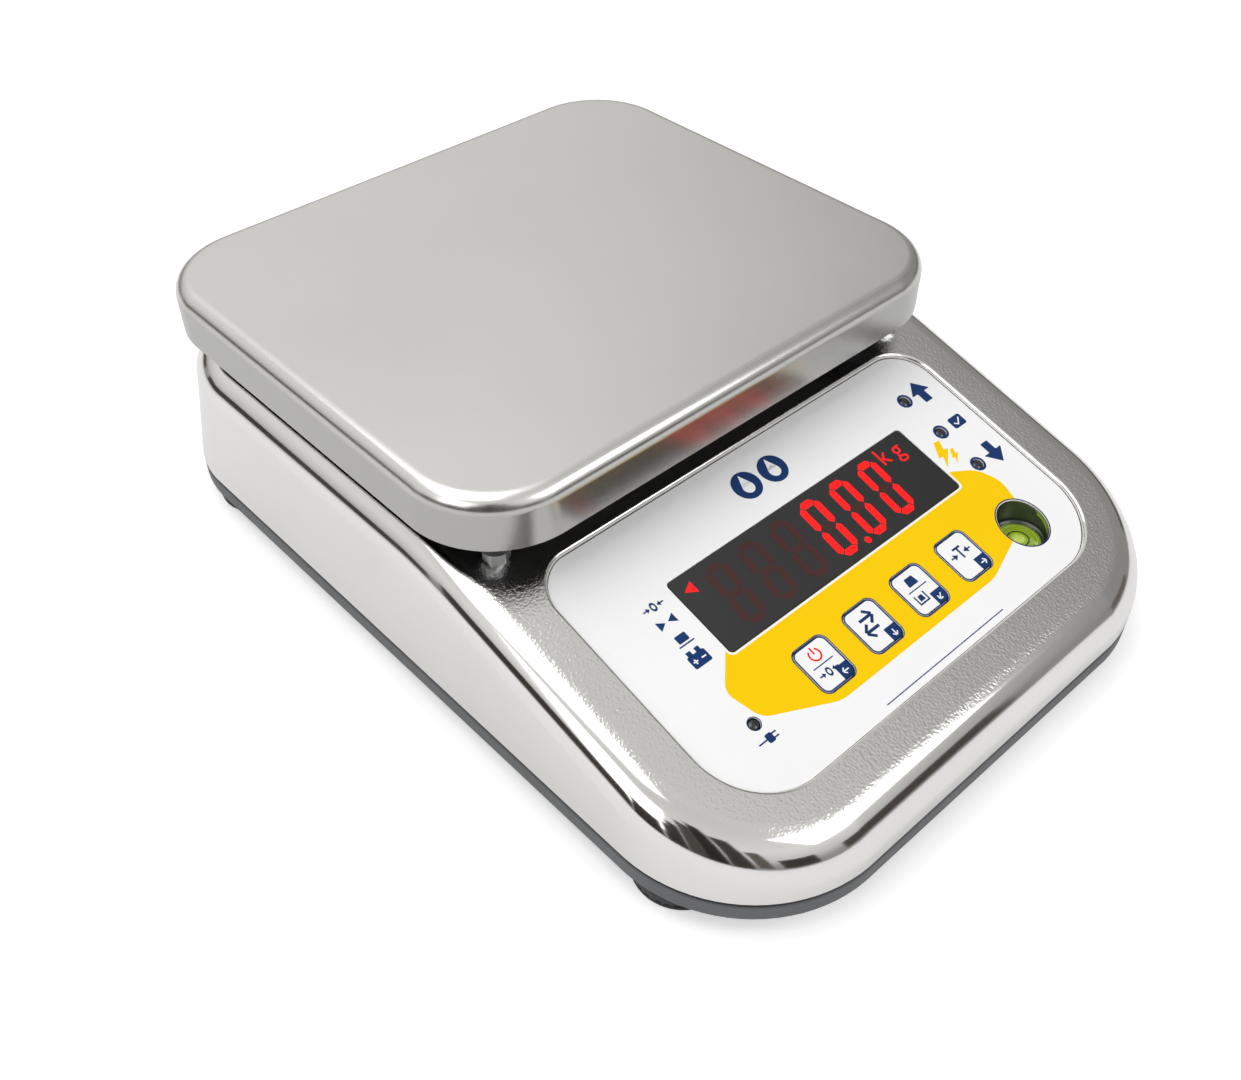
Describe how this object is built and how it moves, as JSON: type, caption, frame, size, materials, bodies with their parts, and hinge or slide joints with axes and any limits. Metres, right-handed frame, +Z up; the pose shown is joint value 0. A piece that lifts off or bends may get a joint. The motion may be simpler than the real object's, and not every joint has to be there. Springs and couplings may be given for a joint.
{
  "type": "bench weighing scale",
  "caption": "Compact wash-down bench scale: rounded stainless pan on a cast support over a drawn housing with a sloped console, red digit display, press keys, bubble level and levelling feet.",
  "frame": {"origin": "on the floor under the middle of the whole scale's bounding box", "axes": "+X to the right of the person at the console, +Y towards the back, +Z up; the console faces -Y"},
  "size_m": [0.236, 0.34, 0.102],
  "materials": {
    "stainless": "polished and brushed stainless steel sheet",
    "label": "printed satin film",
    "window_glass": "dark red-tinted window",
    "dark_resin": "moulded dark plastic",
    "circuit_board": "green solder resist",
    "level_liquid": "lime level liquid",
    "clear_glass": "clear",
    "black_rubber": "black rubber",
    "tray_plastic": "grey moulded plastic",
    "zinc_steel": "zinc-plated steel",
    "bare_alloy": "bare aluminium",
    "black_casting": "black painted casting",
    "copper_coil": "wound copper wire",
    "battery_wrap": "blue shrink wrap"
  },
  "bodies": {
    "base": {"housing_shell": "stainless", "panel_label": "label", "display_window": "window_glass", "display_module": "dark_resin", "display_board": "circuit_board", "key_board": "circuit_board", "lamp_high": "dark_resin", "lamp_mid": "dark_resin", "lamp_low": "dark_resin", "lamp_charge": "dark_resin", "level_cup": "dark_resin", "level_fluid": "level_liquid", "level_bubble": "clear_glass", "level_lens": "clear_glass", "base_gasket": "black_rubber", "base_tray": "tray_plastic", "base_screw_front_left": "zinc_steel", "base_screw_front_right": "zinc_steel", "base_screw_rear_left": "zinc_steel", "base_screw_rear_right": "zinc_steel", "chassis": "bare_alloy", "load_cell": "bare_alloy", "cell_bolt_outer": "zinc_steel", "cell_bolt_inner": "zinc_steel", "stop_screw_front_left": "zinc_steel", "stop_screw_front_right": "zinc_steel", "stop_screw_rear_left": "zinc_steel", "stop_screw_rear_right": "zinc_steel", "post_seal": "black_rubber", "seal_ring": "stainless", "main_board": "circuit_board", "buzzer": "dark_resin", "battery_pack": "battery_wrap", "battery_strap": "zinc_steel", "charge_coil": "copper_coil", "coil_ferrite": "dark_resin", "cell_lead": "black_rubber", "display_ribbon": "label"},
    "support": {"live_bracket": "bare_alloy", "live_bolt_inner": "zinc_steel", "live_bolt_outer": "zinc_steel", "pan_support": "black_casting", "pad_front_left": "black_rubber", "pad_front_right": "black_rubber", "pad_rear_left": "black_rubber", "pad_rear_right": "black_rubber"},
    "pan": {"weighing_pan": "stainless"},
    "key_power_cap": {"key_power": "label"},
    "key_unit_cap": {"key_unit": "label"},
    "key_net_cap": {"key_net": "label"},
    "key_tare_cap": {"key_tare": "label"},
    "foot_front_left_body": {"foot_front_left": "dark_resin", "sole_front_left": "black_rubber"},
    "foot_front_right_body": {"foot_front_right": "dark_resin", "sole_front_right": "black_rubber"},
    "foot_rear_left_body": {"foot_rear_left": "dark_resin", "sole_rear_left": "black_rubber"},
    "foot_rear_right_body": {"foot_rear_right": "dark_resin", "sole_rear_right": "black_rubber"}
  },
  "joints": [
    {"name": "load_deflection", "type": "slide", "parent": "base", "child": "support", "axis": [0, 0, 1], "range_m": [-0.00025, 0], "stiffness_N_per_m": 600000, "springref_m": 0.00005},
    {"name": "pan_lift", "type": "slide", "parent": "support", "child": "pan", "axis": [0, 0, 1], "range_m": [0, 0.06]},
    {"name": "key_power_press", "type": "slide", "parent": "base", "child": "key_power_cap", "axis": [0, -0.2672, 0.9636], "range_m": [-0.00045, 0], "stiffness_N_per_m": 4000, "springref_m": 0.0001},
    {"name": "key_unit_press", "type": "slide", "parent": "base", "child": "key_unit_cap", "axis": [0, -0.2672, 0.9636], "range_m": [-0.00045, 0], "stiffness_N_per_m": 4000, "springref_m": 0.0001},
    {"name": "key_net_press", "type": "slide", "parent": "base", "child": "key_net_cap", "axis": [0, -0.2672, 0.9636], "range_m": [-0.00045, 0], "stiffness_N_per_m": 4000, "springref_m": 0.0001},
    {"name": "key_tare_press", "type": "slide", "parent": "base", "child": "key_tare_cap", "axis": [0, -0.2672, 0.9636], "range_m": [-0.00045, 0], "stiffness_N_per_m": 4000, "springref_m": 0.0001},
    {"name": "foot_front_left_level", "type": "slide", "parent": "base", "child": "foot_front_left_body", "axis": [0, 0, 1], "range_m": [-0.004, 0.0005]},
    {"name": "foot_front_right_level", "type": "slide", "parent": "base", "child": "foot_front_right_body", "axis": [0, 0, 1], "range_m": [-0.004, 0.0005]},
    {"name": "foot_rear_left_level", "type": "slide", "parent": "base", "child": "foot_rear_left_body", "axis": [0, 0, 1], "range_m": [-0.004, 0.0005]},
    {"name": "foot_rear_right_level", "type": "slide", "parent": "base", "child": "foot_rear_right_body", "axis": [0, 0, 1], "range_m": [-0.004, 0.0005]}
  ]
}
